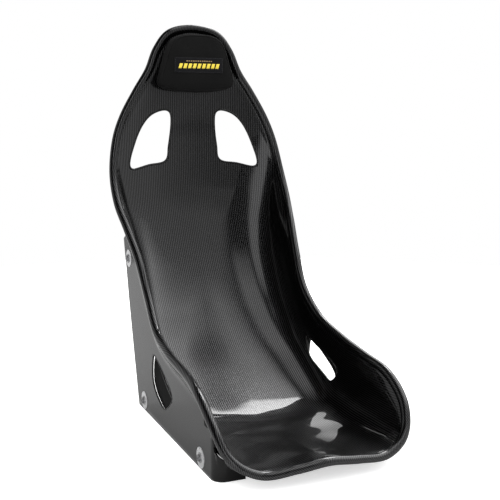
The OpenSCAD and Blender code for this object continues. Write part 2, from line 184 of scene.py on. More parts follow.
def sections(u):
    """Inside face of each cross-section, its points evenly spaced from the middle to the rim."""
    centre, out, _, rise = rim_frame(u)
    spine = along(SPINE, u)
    c = np.stack([np.zeros(len(u)), spine[:, 0], spine[:, 1]], axis=1)
    n = spine[:, 3][:, None]
    edge = centre - BEAD * out
    depth = ((edge - c) * rise).sum(1)[:, None]
    side = edge - c - depth * rise
    turn = np.radians(90) * (np.linspace(0, 1, FINE_COLUMNS) ** 0.8)[None, :]
    across = np.sin(turn) ** (2 / n)
    # The middle is dished rather than flat, and more so at the waist.
    soft = (0.28 + 0.18 * np.exp(-(((u - 10.5) / 2.2) ** 4)))[:, None]
    power = ((across**2 + soft**2) ** (n / 2) - soft**n) / ((1 + soft**2) ** (n / 2) - soft**n)
    high = 1 - np.clip(1 - power, 0, 1) ** (1 / n)
    p = c[:, None] + across[..., None] * side[:, None] + (high * depth)[..., None] * rise[:, None]
    # The wall stops at its limit, and may open out just below the rim.
    open_up = np.maximum(0, edge[:, 0] - WALL_LIMIT + 12)[:, None]
    limit = WALL_LIMIT + slack(u)[:, None] + open_up * high**9
    p[..., 0] -= EASE * np.log1p(np.exp(np.clip((p[..., 0] - limit) / EASE, -40, 40)))
    # Low ridge between the thighs.
    run_in = np.clip((-p[..., 1] - 150) / 150, 0, 1)
    p[..., 2] += RIDGE * run_in**2 * np.exp(-p[..., 0] ** 2 / 2400)
    step = np.linalg.norm(np.diff(p, axis=1), axis=2)
    length = np.concatenate([np.zeros((len(u), 1)), np.cumsum(step, axis=1)], axis=1)
    even = length[:, -1] - ROLL
    rows = np.zeros((len(u), ACROSS + 1, 3))
    for i in range(len(u)):
        inner = even[i] * np.linspace(0, 1, WALL + 1)
        outer = even[i] + ROLL * np.linspace(0, 1, ACROSS - WALL + 1)[1:]
        want = np.concatenate([inner, outer])
        for k in range(3):
            rows[i, :, k] = np.interp(want, length[i], p[i, :, k])
    return rows


def face_normals(rows, rise):
    """Normals of a half face that point out of the seat's hollow."""
    flip = np.array([-1, 1, 1])
    before = np.concatenate([rows[1:2] * flip, rows[:-1]])
    after = np.concatenate([rows[1:], rows[-2:-1] * flip])
    down = after - before
    right = np.concatenate([rows[:, 1:], rows[:, -1:]], axis=1)
    left = np.concatenate([rows[:, 1:2] * flip, rows[:, :-1]], axis=1)
    n = np.cross(right - left, down)
    weak = np.linalg.norm(n, axis=2) < 1e-3
    n[weak] = -np.broadcast_to(rise[:, None], n.shape)[weak]
    n = unit(n)
    n[:, 0, 0] = 0
    return unit(n)


steps = np.linspace(0, LAST, ROWS + 1)
bead_centre, bead_out, bead_up, wall_rise = rim_frame(steps)
face = sections(steps)
normals = face_normals(face, wall_rise)

from_edge = np.linalg.norm(face - face[:, -1:], axis=2)
groove = GROOVE_DEPTH * np.clip(1 - np.abs(from_edge - GROOVE_INSET) / GROOVE_REACH, 0, 1) ** 2
groove[:, -1] = 0
face = face + groove[..., None] * normals


def bead_rows():
    """Rolled rim, then the flank down to the outside face."""
    turns = np.radians(np.arange(6, 222, 9))
    ring = [
        bead_centre + BEAD * (-math.cos(a) * bead_out + math.sin(a) * bead_up) for a in turns
    ]
    end = face[:, WALL] + (SKIN + PANEL_SKIN + WALL_GAP) * normals[:, WALL]
    start = bead_centre + BEAD * math.cos(math.pi / 4) * (bead_out - bead_up)
    bend = end + ROLL * 0.55 * unit(face[:, WALL + 4] - face[:, WALL])
    flank = []
    for s in np.linspace(0.1, 1, 10):
        flank.append((1 - s) ** 2 * start + 2 * s * (1 - s) * bend + s * s * end)
    return np.stack(ring + flank, axis=1)


bead_part = bead_rows()
outside = (face + SKIN * normals)[:, WALL::-1]
half_shell = np.concatenate([face, bead_part, outside], axis=1)


def weave_coordinates(rows):
    """Distances across and along the cloth, in millimetres, at every point of the half shell."""
    tangent = np.cross(wall_rise, [1.0, 0, 0])
    spine = rows[:, 0]
    travel = np.concatenate([[0], np.cumsum(np.linalg.norm(np.diff(spine, axis=0), axis=1))])
    step = np.diff(rows, axis=1)
    t_step = (step * -tangent[:, None]).sum(2)
    s_step = np.sqrt(np.maximum(0, (step**2).sum(2) - t_step**2))
    share = unit(np.stack([s_step, t_step], axis=2)[:, WALL - 4:WALL].mean(1))
    length = np.linalg.norm(step, axis=2)
    s_step[:, WALL:] = length[:, WALL:] * share[:, 0:1]
    t_step[:, WALL:] = length[:, WALL:] * share[:, 1:2]
    s = np.concatenate([np.zeros((len(rows), 1)), np.cumsum(s_step, axis=1)], axis=1)
    t = np.concatenate([np.zeros((len(rows), 1)), np.cumsum(t_step, axis=1)], axis=1)
    t = t + travel[:, None]
    back = s.shape[1] - (WALL + 1)
    s[:, back:] = s[:, WALL::-1]
    t[:, back:] = t[:, WALL::-1]
    return s, t


def link(name, verts, faces, smooth=True):
    """New object in the scene, made from vertices in metres."""
    mesh = bpy.data.meshes.new(name)
    mesh.from_pydata([tuple(v) for v in verts], [], faces)
    mesh.validate()
    mesh.update()
    mesh.polygons.foreach_set("use_smooth", [smooth] * len(mesh.polygons))
    piece = bpy.data.objects.new(name, mesh)
    scene.collection.objects.link(piece)
    return piece


def to_metres(points):
    """Drawn points, in millimetres, as points of the frame in metres."""
    moved = np.array(points, float).reshape(-1, 3).copy()
    moved[:, 1] += DATUM_Y
    return moved * MM


def build_shell():
    """Both halves of the shell as one closed mesh, with the cloth's coordinates."""
    rows = half_shell
    s, t = weave_coordinates(rows)
    n = len(rows) - 1
    cols = rows.shape[1]
    flip = np.array([-1, 1, 1])
    points = []
    index = {}
    for i in range(2 * n):
        src = i if i <= n else 2 * n - i
        for j in range(cols):
            if j in (0, cols - 1) and i > n:
                index[i, j] = index[src, j]
                continue
            index[i, j] = len(points)
            p = rows[src, j]
            points.append(p if i <= n else p * flip)
    faces = []
    corner_uv = []
    for i in range(2 * n):
        side = 1 if i < n else -1
        for j in range(cols - 1):
            quad = [(i, j), (i, j + 1), ((i + 1) % (2 * n), j + 1), ((i + 1) % (2 * n), j)]
            ids = [index[q] for q in quad]
            uv = []
            for qi, qj in quad:
                src = qi if qi <= n else 2 * n - qi
                uv.append((side * s[src, qj] * MM, t[src, qj] * MM))
            kept = []
            kept_uv = []
            for v, w in zip(ids, uv):
                if v not in kept:
                    kept.append(v)
                    kept_uv.append(w)
            if len(kept) >= 3:
                faces.append(kept[::-1])
                corner_uv.extend(kept_uv[::-1])
    piece = link("shell_body", to_metres(points), faces)
    layer = piece.data.uv_layers.new(name="weave")
    layer.data.foreach_set("uv", np.array(corner_uv).ravel())
    return piece


shell = build_shell()


# ---------------------------------------------------------------- outlines and helpers
def closed_curve(points, count):
    """Smooth closed curve through points, as count evenly spaced points."""
    p = np.array(points, float)
    n = len(p)
    dense = []
    for i in range(n):
        a, b, c, d = p[i - 1], p[i], p[(i + 1) % n], p[(i + 2) % n]
        for f in np.linspace(0, 1, 24, endpoint=False):
            bend = a - 2.5 * b + 2 * c - d / 2
            twist = (3 * (b - c) + d - a) / 2
            dense.append(b + f * (c - a) / 2 + f * f * bend + f**3 * twist)
    dense = np.array(dense + [dense[0]])
    length = np.concatenate([[0], np.cumsum(np.linalg.norm(np.diff(dense, axis=0), axis=1))])
    want = np.linspace(0, length[-1], count, endpoint=False)
    return np.stack([np.interp(want, length, dense[:, k]) for k in range(dense.shape[1])], axis=1)


def offset_curve(points, distance):
    """Closed plane curve moved outwards by a distance."""
    step = np.roll(points, -1, axis=0) - np.roll(points, 1, axis=0)
    side = unit(np.stack([step[:, 1], -step[:, 0]], axis=1))
    area = np.cross(points, np.roll(points, -1, axis=0)).sum()
    return points + side * distance * (1 if area > 0 else -1)


def fix_normals(piece):
    """Turns a closed mesh's faces outwards."""
    bm = bmesh.new()
    bm.from_mesh(piece.data)
    bmesh.ops.recalc_face_normals(bm, faces=bm.faces)
    bm.to_mesh(piece.data)
    bm.free()


def prism(outline, span, place):
    """Closed prism that cuts a slot, with place(point, depth) at both depths of a span."""
    n = len(outline)
    verts = [place(p, depth) for depth in span for p in outline]
    faces = [list(range(n))[::-1], list(range(n, 2 * n))]
    faces += [[i, (i + 1) % n, n + (i + 1) % n, n + i] for i in range(n)]
    piece = link("slot_tool", to_metres(verts), faces, smooth=False)
    fix_normals(piece)
    return piece


def apply_modifiers(piece):
    bpy.context.view_layer.update()
    made = bpy.data.meshes.new_from_object(
        piece.evaluated_get(bpy.context.evaluated_depsgraph_get())
    )
    piece.modifiers.clear()
    piece.data = made


def thicken(piece, thickness, offset):
    """Makes a sheet solid: behind it with offset -1, on both sides of it with offset 0."""
    solid = piece.modifiers.new("thickness", "SOLIDIFY")
    solid.thickness = thickness * MM
    solid.offset = offset
    apply_modifiers(piece)


def cut(piece, tools):
    """Takes the tools out of the piece, and removes them from the scene."""
    for tool in tools:
        modifier = piece.modifiers.new("cut", "BOOLEAN")
        modifier.object = tool
        modifier.operation = "DIFFERENCE"
        modifier.solver = "EXACT"
    apply_modifiers(piece)
    for tool in tools:
        bpy.data.objects.remove(tool)


def tree_of(piece):
    """The piece's surface, for casting rays at it."""
    return BVHTree.FromPolygons(
        [v.co.copy() for v in piece.data.vertices], [list(f.vertices) for f in piece.data.polygons]
    )


def sweep(name, path, normal, wide, thick, sides=12):
    """Closed tube round a closed path, wide across the surface and thick along its normal."""
    path = np.array(path, float)
    normal = unit(np.array(normal, float))
    along_path = unit(np.roll(path, -1, axis=0) - np.roll(path, 1, axis=0))
    across = unit(np.cross(along_path, normal))
    normal = unit(np.cross(across, along_path))
    n = len(path)
    verts = []
    for i in range(n):
        for k in range(sides):
            a = 2 * math.pi * k / sides
            verts.append(path[i] + wide * math.cos(a) * across[i] + thick * math.sin(a) * normal[i])
    faces = []
    for i in range(n):
        for k in range(sides):
            a = i * sides + k
            b = i * sides + (k + 1) % sides
            c = ((i + 1) % n) * sides + (k + 1) % sides
            d = ((i + 1) % n) * sides + k
            faces.append([a, b, c, d])
    piece = link(name, verts, faces)
    fix_normals(piece)
    return piece


def joined(name, pieces):
    """One object made of several meshes."""
    bm = bmesh.new()
    for piece in pieces:
        bm.from_mesh(piece.data)
    mesh = bpy.data.meshes.new(name)
    bm.to_mesh(mesh)
    bm.free()
    for piece in pieces:
        bpy.data.objects.remove(piece)
    out = bpy.data.objects.new(name, mesh)
    scene.collection.objects.link(out)
    return out


# Shoulder-belt slot as x, z; lap-belt slots of the shell and of the panel as y, z.
SHOULDER_SLOT = [
    [70, 542], [112, 534], [150, 525], [160, 529], [158, 548], [150, 572],
    [139, 600], [126, 624], [110, 643], [92, 654], [70, 659], [58, 652], [57, 620], [63, 575],
]
SHELL_LAP_SLOT = [
    [84, 150], [38, 138], [-4, 128], [-40, 118], [-57, 108], [-58, 98], [-45, 85], [-30, 76],
    [-14, 80], [6, 87], [28, 95], [50, 104], [66, 114], [78, 128], [86, 146],
]
PANEL_LAP_SLOT = [
    [76, 144], [36, 131], [3, 117], [-27, 102], [-40, 90], [-38, 78], [-19, 62], [4, 48],
    [16, 46], [34, 50], [64, 63], [84, 79], [91, 98], [89, 121], [84, 138],
]

# ---------------------------------------------------------------- slots in the shell, with lips
SLOT_POINTS = 160
# Half widths of the rolled lips, how far they stand out of the surface, and how deep the middle
# of a panel's lip lies.
LIP = 2.6
LIP_PROUD = 1.3
PANEL_LIP = 1.6
PANEL_LIP_PROUD = 0.7
PANEL_LIP_DEPTH = 1.2
# How often a lip's path and the normals along it are smoothed.
PATH_PASSES = 6
NORMAL_PASSES = 10
# From where to where the slots are cut: y for the shoulder slots, distance from the middle for
# the others. Rays start at SHOULDER_RAY_Y towards the back, and at PANEL_RAY_X towards a panel.
SHOULDER_CUT = (250, 420)
LAP_CUT = (120, 230)
PANEL_CUT = (150, 230)
SHOULDER_RAY_Y = 100
PANEL_RAY_X = 230
shell_tree = tree_of(shell)


def hand(side):
    return "right" if side > 0 else "left"


def dropped(tree, points, direction):
    """Points moved along a direction onto a surface, and the surface normals there."""
    found = []
    facing = []
    for p in points:
        hit, normal, _, _ = tree.ray_cast(Vector(p), Vector(direction))
        if normal.dot(Vector(direction)) > 0:
            normal = -normal
        found.append(hit)
        facing.append(normal)
    return np.array(found), np.array(facing)


def smoothed(values, times):
    """Values round a closed path, each averaged with its neighbours a number of times."""
    for _ in range(times):
        values = (np.roll(values, 1, axis=0) + 2 * values + np.roll(values, -1, axis=0)) / 4
    return values


def shell_slot(side, kind):
    """Tool that cuts one slot, and the rolled lip round it."""
    if kind == "shoulder":
        outline = offset_curve(closed_curve(SHOULDER_SLOT, SLOT_POINTS), LIP)
        tool = prism(outline, SHOULDER_CUT, lambda p, depth: (side * p[0], depth, p[1]))
        flat = to_metres([(side * p[0], SHOULDER_RAY_Y, p[1]) for p in outline])
        on_face, facing = dropped(shell_tree, flat, (0, 1, 0))
    else:
        outline = offset_curve(closed_curve(SHELL_LAP_SLOT, SLOT_POINTS), LIP)
        tool = prism(outline, LAP_CUT, lambda p, depth: (side * depth, p[0], p[1]))
        flat = to_metres([(side * LAP_CUT[0], p[0], p[1]) for p in outline])
        on_face, facing = dropped(shell_tree, flat, (side, 0, 0))
    middle = smoothed(on_face - facing * (SKIN / 2) * MM, PATH_PASSES)
    lip = sweep(
        f"{kind}_slot_lip_{hand(side)}",
        middle, smoothed(facing, NORMAL_PASSES), LIP * MM, (SKIN / 2 + LIP_PROUD) * MM,
    )
    return tool, lip


slot_tools = []
slot_lips = []
for side in (-1, 1):
    for kind in ("shoulder", "lap"):
        tool, lip = shell_slot(side, kind)
        slot_tools.append(tool)
        slot_lips.append(lip)
cut(shell, slot_tools)

# ---------------------------------------------------------------- side panels
# How far a panel turns in at the front, the radius of that corner, and the height over which the
# panel leans out to meet the rim.
PANEL_REACH = 56
CORNER = 20
FILLET = 30
PANEL_LEVELS = 48
# Rear edge as z, y, and the point where it meets the top edge as x, y, z.
REAR_EDGE = [[0, 200], [128, 239], [227, 268], [317, 291], [366, 304]]
REAR_TOP = [FACE_X, 304, 367]


def panel_top_edge():
    """Top edge of the right panel, from the rear to the front, as [x, y, z].

    At the rear it runs below the top of the shell's wall, and further forwards under the rim.
    """
    u = steps
    drop = 3 + 24 * np.clip((10.4 - u) / 1.4, 0, 1) ** 1.3
    wall_end = face[:, WALL] - drop[:, None] * wall_rise
    wall_end[:, 0] = FACE_X
    below = bead_centre + 0.97 * BEAD * (0.26 * bead_out - 0.966 * bead_up)
    mix = np.clip((u - 9.7) / 1.1, 0, 1)
    mix = (mix * mix * (3 - 2 * mix))[:, None]
    edge = wall_end * (1 - mix) + below * mix
    keep = (u >= 9) & (u <= 16.6)
    return edge[keep]


def build_panel(side):
    """One side panel with its lap slot cut, and the lip round that slot."""
    edge = np.vstack([[REAR_TOP], panel_top_edge()])
    edge = edge[np.argsort(edge[:, 1])]
    rear_z, rear_y = np.array(REAR_EDGE, float).T
    plate_front = PANEL_FRONT - DATUM_Y + CORNER
    columns = []
    for y in np.linspace(REAR_TOP[1] - 0.5, plate_front, 150):
        low = 0 if y <= rear_y[0] else np.interp(y, rear_y, rear_z)
        x = np.interp(y, edge[:, 1], edge[:, 0])
        high = max(np.interp(y, edge[:, 1], edge[:, 2]), low + 0.3)
        columns.append((FACE_X, y, low, high, x - FACE_X, 1.0, 0.0))
    corner_x = FACE_X - CORNER
    path = []
    for a in np.linspace(0, math.pi / 2, 16)[1:]:
        nx, ny = math.cos(a), -math.sin(a)
        path.append((corner_x + CORNER * nx, plate_front + CORNER * ny, nx, ny))
    path += [
        (x, plate_front - CORNER, 0.0, -1.0)
        for x in np.linspace(corner_x, FACE_X - PANEL_REACH, 16)[1:]
    ]
    first_lean = columns[-1][4]
    for k, (x, y, nx, ny) in enumerate(path):
        start = Vector(to_metres([(x, y, -5)])[0])
        hit = shell_tree.ray_cast(start, Vector((0, 0, 1)))[0]
        high = hit.z / MM - 0.3
        fade = max(0, 1 - k / 12)
        columns.append((x, y, 0, min(high, columns[-1][3]), first_lean * fade, nx, ny))
    verts = []
    for x, y, low, high, lean, nx, ny in columns:
        for k in range(PANEL_LEVELS + 1):
            f = (k / PANEL_LEVELS) ** 0.8
            z = low + (high - low) * f
            g = max(0, 1 - (high - z) / FILLET) ** 2
            verts.append((side * (x + nx * lean * g), y + ny * lean * g, z))
    faces = []
    for c in range(len(columns) - 1):
        for k in range(PANEL_LEVELS):
            a = c * (PANEL_LEVELS + 1) + k
            b = (c + 1) * (PANEL_LEVELS + 1) + k
            faces.append([a, b, b + 1, a + 1] if side > 0 else [a, a + 1, b + 1, b])
    piece = link(f"{hand(side)}_panel", to_metres(verts), faces)
    thicken(piece, PANEL_SKIN, -1)
    outline = offset_curve(closed_curve(PANEL_LAP_SLOT, SLOT_POINTS), PANEL_LIP)
    flat = to_metres([(side * PANEL_RAY_X, p[0], p[1]) for p in outline])
    on_face, facing = dropped(tree_of(piece), flat, (-side, 0, 0))
    middle = smoothed(on_face - facing * PANEL_LIP_DEPTH * MM, PATH_PASSES)
    thick = PANEL_LIP_DEPTH + PANEL_LIP_PROUD
    lip = sweep(
        f"panel_slot_lip_{hand(side)}",
        middle, smoothed(facing, NORMAL_PASSES), PANEL_LIP * MM, thick * MM,
    )
    tool = prism(outline, PANEL_CUT, lambda p, depth: (side * depth, p[0], p[1]))
    cut(piece, [tool])
    return piece, lip


panels = {side: build_panel(side) for side in (-1, 1)}

# ---------------------------------------------------------------- ducts between the lap slots
SLEEVE_SKIN = 1.2
SLEEVE_POINTS = 120
SLEEVE_RINGS = 5
SLEEVE_PASSES = 4
SLEEVE_OVERLAP = 0.2
SLEEVE_MIDDLE = np.array([20.0, 98.0])


def by_angle(outline):
    """An outline as SLEEVE_POINTS points at even angles round SLEEVE_MIDDLE."""
    v = outline - SLEEVE_MIDDLE
    angle = np.arctan2(v[:, 1], v[:, 0])
    order = np.argsort(angle)
    turns = np.linspace(-math.pi, math.pi, SLEEVE_POINTS, endpoint=False)
    size = np.interp(turns, angle[order], np.linalg.norm(v, axis=1)[order], period=2 * math.pi)
    return SLEEVE_MIDDLE + size[:, None] * np.stack([np.cos(turns), np.sin(turns)], axis=1)


def slot_sleeve(side):
    """Thin duct that joins a panel's lap slot to the shell's."""
    outside = closed_curve(PANEL_LAP_SLOT, SLOT_POINTS)
    outer = by_angle(offset_curve(outside, PANEL_LIP + SLEEVE_OVERLAP))
    inner = by_angle(offset_curve(closed_curve(SHELL_LAP_SLOT, SLOT_POINTS), LIP))
    flat = to_metres([(side * LAP_CUT[0], p[0], p[1]) for p in inner])
    on_wall = dropped(shell_tree, flat, (side, 0, 0))[0]
    wall = smoothed(on_wall[:, 0] / MM * side, SLEEVE_PASSES) + SKIN / 2
    rings = []
    for share in np.linspace(0, 1, SLEEVE_RINGS):
        x = (1 - share) * (FACE_X - PANEL_SKIN / 2) + share * np.minimum(wall, FACE_X - PANEL_SKIN)
        p = (1 - share) * outer + share * inner
        rings.append(np.column_stack([side * x, p[:, 0], p[:, 1]]))
    verts = [tuple(p) for ring in rings for p in ring]
    faces = []
    for k in range(SLEEVE_RINGS - 1):
        a = k * SLEEVE_POINTS
        b = a + SLEEVE_POINTS
        for i in range(SLEEVE_POINTS):
            j = (i + 1) % SLEEVE_POINTS
            faces.append([a + i, a + j, b + j, b + i])
    piece = link(f"lap_slot_sleeve_{hand(side)}", to_metres(verts), faces)
    thicken(piece, SLEEVE_SKIN, 0)
    fix_normals(piece)
    return piece


sleeves = [slot_sleeve(side) for side in (-1, 1)]

# ---------------------------------------------------------------- head pad
PAD_FRONT = pad_low.y / MM - DATUM_Y
PAD_BACK = pad_high.y / MM - DATUM_Y
PAD_BASE = pad_low.z / MM
PAD_TALL = (pad_high.z - pad_low.z) / MM
# Outline of the pad's right half as x and the share of its height.
PAD_HALF = [
    [0, 1], [24, 0.995], [45, 0.96], [62, 0.88], [72, 0.75], [80, 0.56], [88, 0.36],
    [93, 0.2], [90, 0.115], [78, 0.065], [55, 0.03], [28, 0.008], [0, 0],
]
PAD_SHAPE = [[x, PAD_BASE + share * PAD_TALL] for x, share in PAD_HALF]
PAD_SHAPE += [[-x, z] for x, z in PAD_SHAPE[-2:0:-1]]
pad_outline = closed_curve(PAD_SHAPE, 180)
PAD_MIDDLE = np.array([0, PAD_BASE + 0.46 * PAD_TALL])
# The pad starts PAD_INSET smaller than its outline, since it swells, and has a rounded edge.
PAD_INSET = 0.6
PAD_EDGE_ROUND = 9
SEAM_INSET = 5.5
PIPING_RADIUS = 1.3
PIPING_PASSES = 8
# Rays at the pad's front start this far ahead of it.
RAY_START = 60
# How the pad is filled: pressure, cap on each point's travel, voxel, depth held still, frames.
PUFF_PRESSURE = 4.0
PUFF_CAP = 5
VOXEL = 4
HELD_DEPTH = 6
PUFF_FRAMES = 20


def drawn_in(distance):
    """The pad's outline drawn in towards its middle by a distance."""
    v = pad_outline - PAD_MIDDLE
    size = np.linalg.norm(v, axis=1, keepdims=True)
    return PAD_MIDDLE + v * (1 - distance / size)


def pad_rings(name, rings):
    """Closed body through rings of the outline, each as [distance drawn in, y]."""
    n = len(pad_outline)
    verts = []
    for distance, y in rings:
        verts += [(p[0], y, p[1]) for p in drawn_in(distance)]
    verts += [(0, rings[0][1], PAD_MIDDLE[1]), (0, rings[-1][1], PAD_MIDDLE[1])]
    faces = []
    for r in range(len(rings) - 1):
        for i in range(n):
            j = (i + 1) % n
            faces.append([r * n + i, r * n + j, (r + 1) * n + j, (r + 1) * n + i])
    last = (len(rings) - 1) * n
    for i in range(n):
        j = (i + 1) % n
        faces.append([j, i, len(verts) - 2])
        faces.append([last + i, last + j, len(verts) - 1])
    piece = link(name, to_metres(verts), faces)
    fix_normals(piece)
    return piece


def build_pad():
    """The pad before it is filled: straight sides, a rounded edge and a slightly crowned front."""
    edge = [[PAD_INSET, PAD_BACK]]
    edge += [[PAD_INSET, y] for y in np.linspace(PAD_BACK - 4, PAD_FRONT + 14, 6)]
    for a in np.radians([20, 40, 60, 80]):
        inset = PAD_INSET + PAD_EDGE_ROUND * (1 - math.cos(a))
        edge.append([inset, PAD_FRONT + 5 + PAD_EDGE_ROUND * (1 - math.sin(a))])
    edge += [[14, PAD_FRONT + 4.6], [26, PAD_FRONT + 4], [45, PAD_FRONT + 3.4], [62, PAD_FRONT + 3]]
    return pad_rings("head_pad_cushion", edge)


def puff(piece):
    """Cloth simulation that fills the piece, with every point's travel capped."""
    remesh = piece.modifiers.new("remesh", "REMESH")
    remesh.mode = "VOXEL"
    remesh.voxel_size = VOXEL * MM
    apply_modifiers(piece)
    before = np.array([v.co for v in piece.data.vertices])
    held = piece.vertex_groups.new(name="held")
    back = before[:, 1].max()
    still = [i for i, v in enumerate(before) if v[1] > back - HELD_DEPTH * MM]
    held.add(still, 1.0, "REPLACE")
    cloth = piece.modifiers.new("cloth", "CLOTH")
    settings = cloth.settings
    settings.vertex_group_mass = "held"
    settings.use_pressure = True
    settings.uniform_pressure_force = PUFF_PRESSURE
    settings.effector_weights.gravity = 0
    settings.quality = 6
    settings.tension_stiffness = 25
    settings.compression_stiffness = 25
    settings.bending_stiffness = 2
    cloth.point_cache.frame_start = 1
    cloth.point_cache.frame_end = PUFF_FRAMES
    for number in range(1, PUFF_FRAMES + 1):
        scene.frame_set(number)
    bpy.context.view_layer.update()
    swollen = piece.evaluated_get(bpy.context.evaluated_depsgraph_get())
    after = np.array([v.co for v in swollen.data.vertices])
    scene.frame_set(1)
    piece.modifiers.clear()
    travel = after - before
    length = np.linalg.norm(travel, axis=1, keepdims=True)
    travel *= np.minimum(1, PUFF_CAP * MM / np.maximum(1e-9, length))
    piece.data.vertices.foreach_set("co", (before + travel).ravel())
    piece.data.update()


pad = build_pad()
puff(pad)
relax = pad.modifiers.new("relax", "SMOOTH")
relax.iterations = 4
relax.factor = 0.5
finer = pad.modifiers.new("finer", "SUBSURF")
finer.levels = 1
apply_modifiers(pad)
pad.data.polygons.foreach_set("use_smooth", [True] * len(pad.data.polygons))

pad_tree = tree_of(pad)
seam = to_metres([(p[0], PAD_FRONT - RAY_START, p[1]) for p in drawn_in(SEAM_INSET)])
seam_path, seam_facing = dropped(pad_tree, seam, (0, 1, 0))
piping = sweep(
    "head_pad_piping", smoothed(seam_path, PIPING_PASSES), smoothed(seam_facing, NORMAL_PASSES),
    PIPING_RADIUS * MM, PIPING_RADIUS * MM, sides=10,
)

# ---------------------------------------------------------------- label on the pad
label_low, label_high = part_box("pad_label")
LABEL_WIDE = (label_high.x - label_low.x) / MM
LABEL_TALL = (label_high.z - label_low.z) / MM
LABEL_Z = (label_high.z + label_low.z) / 2 / MM
# How far the front and the back of each layer stand out of the pad.
LABEL_LAYER = (1.2, -0.4)
BAR_LAYER = (1.7, 1.0)
DASH_LAYER = (1.6, 1.0)
STITCH_LAYER = (1.5, 1.0)
# Row of bars a little below the label's middle, whose width and lean are shares of their pitch,
# and the finer row of dashes above them.
LABEL_MARGIN = 8
BARS = 9
BAR_TALL = 11
BAR_SHARE = 0.68
BAR_LEAN = 0.3
BAR_DROP = 2
DASHES = 12
DASH_PITCH = 5.4
DASH_SIZE = (3.4, 2.2)
DASH_RISE = 9.1
# Stitches round the label's edge.
STITCHES_ALONG = 24
STITCHES_UP = 6
STITCH_PITCH = 4.7
STITCH_LONG = 3.2
STITCH_WIDE = 0.7
STITCH_INSET = 1.6


def on_pad(x, z, proud):
    """Point on the pad's front at x, z in millimetres, standing proud of it."""
    origin = Vector(to_metres([(x, PAD_FRONT - RAY_START, z)])[0])
    hit = pad_tree.ray_cast(origin, Vector((0, 1, 0)))[0]
    return hit + Vector((0, -proud * MM, 0))


def patch(name, middle, size, layer, cells, lean=0.0):
    """Thin slab lying on the pad's front, its top leaning sideways past its foot."""
    nx, nz = cells
    verts = []
    for proud in layer:
        for j in range(nz + 1):
            for i in range(nx + 1):
                a = i / nx - 0.5
                b = j / nz - 0.5
                x = middle[0] + size[0] * a + lean * b
                verts.append(on_pad(x, middle[1] + size[1] * b, proud))
    faces = []
    points = (nx + 1) * (nz + 1)

    def at(i, j, back):
        return back * points + j * (nx + 1) + i

    for j in range(nz):
        for i in range(nx):
            faces.append([at(i, j, 0), at(i + 1, j, 0), at(i + 1, j + 1, 0), at(i, j + 1, 0)])
            faces.append([at(i, j, 1), at(i, j + 1, 1), at(i + 1, j + 1, 1), at(i + 1, j, 1)])
    for i in range(nx):
        faces.append([at(i, 0, 1), at(i + 1, 0, 1), at(i + 1, 0, 0), at(i, 0, 0)])
        faces.append([at(i, nz, 0), at(i + 1, nz, 0), at(i + 1, nz, 1), at(i, nz, 1)])
    for j in range(nz):
        faces.append([at(0, j, 0), at(0, j + 1, 0), at(0, j + 1, 1), at(0, j, 1)])
        faces.append([at(nx, j, 1), at(nx, j + 1, 1), at(nx, j + 1, 0), at(nx, j, 0)])
    return link(name, verts, faces)


label = patch("label_patch", (0, LABEL_Z), (LABEL_WIDE, LABEL_TALL), LABEL_LAYER, (48, 14))
pitch = (LABEL_WIDE - 2 * LABEL_MARGIN) / BARS
bars = []
for i in range(BARS):
    middle = ((i - (BARS - 1) / 2) * pitch, LABEL_Z - BAR_DROP)
    size = (pitch * BAR_SHARE, BAR_TALL)
    bars.append(patch(f"bar_{i}", middle, size, BAR_LAYER, (4, 4), lean=pitch * BAR_LEAN))
band = joined("label_bars", bars)
dashes = []
for i in range(DASHES):
    middle = ((i - (DASHES - 1) / 2) * DASH_PITCH, LABEL_Z + DASH_RISE)
    dashes.append(patch(f"dash_{i}", middle, DASH_SIZE, DASH_LAYER, (2, 1)))
fine_row = joined("label_dashes", dashes)
stitches = []
for side in (-1, 1):
    for i in range(STITCHES_ALONG):
        x = (i - (STITCHES_ALONG - 1) / 2) * STITCH_PITCH
        middle = (x, LABEL_Z + side * (LABEL_TALL / 2 - STITCH_INSET))
        size = (STITCH_LONG, STITCH_WIDE)
        stitches.append(patch(f"stitch_{side}_{i}", middle, size, STITCH_LAYER, (2, 1)))
    for i in range(STITCHES_UP):
        z = LABEL_Z + (i - (STITCHES_UP - 1) / 2) * STITCH_PITCH
        middle = (side * (LABEL_WIDE / 2 - STITCH_INSET), z)
        size = (STITCH_WIDE, STITCH_LONG)
        stitches.append(patch(f"stitch_{side}_up_{i}", middle, size, STITCH_LAYER, (1, 2)))
thread = joined("label_stitches", stitches)

# ---------------------------------------------------------------- materials
# Width of one tow of the carbon cloth, in metres.
TOW = 0.0023
# Metals are a little less than fully metallic, so that they also take light as matt surfaces do.
METAL_SHARE = 0.7


def material(name, color, roughness, metallic=0.0):
    """New material, with its node tree and its shader."""
    made = bpy.data.materials.new(name)
    made.use_nodes = True
    shader = made.node_tree.nodes["Principled BSDF"]
    shader.inputs["Base Color"].default_value = (*color, 1)
    shader.inputs["Roughness"].default_value = roughness
    shader.inputs["Metallic"].default_value = metallic
    return made, made.node_tree, shader


def math_node(tree, operation, a, b=None, c=None):
    """Result of a Math node whose inputs are numbers or other nodes' outputs."""
    node = tree.nodes.new("ShaderNodeMath")
    node.operation = operation
    for socket, value in zip(node.inputs, (a, b, c)):
        if value is None:
            continue
        if isinstance(value, (int, float)):
            socket.default_value = value
        else:
            tree.links.new(value, socket)
    return node.outputs[0]


def soft_step(tree, value, low, high):
    """0 at low, 1 at high, with an S-shaped ramp between them."""
    node = tree.nodes.new("ShaderNodeMapRange")
    node.interpolation_type = "SMOOTHSTEP"
    node.inputs["From Min"].default_value = min(low, high)
    node.inputs["From Max"].default_value = max(low, high)
    if low > high:
        node.inputs["To Min"].default_value = 1
        node.inputs["To Max"].default_value = 0
    tree.links.new(value, node.inputs["Value"])
    return node.outputs["Result"]


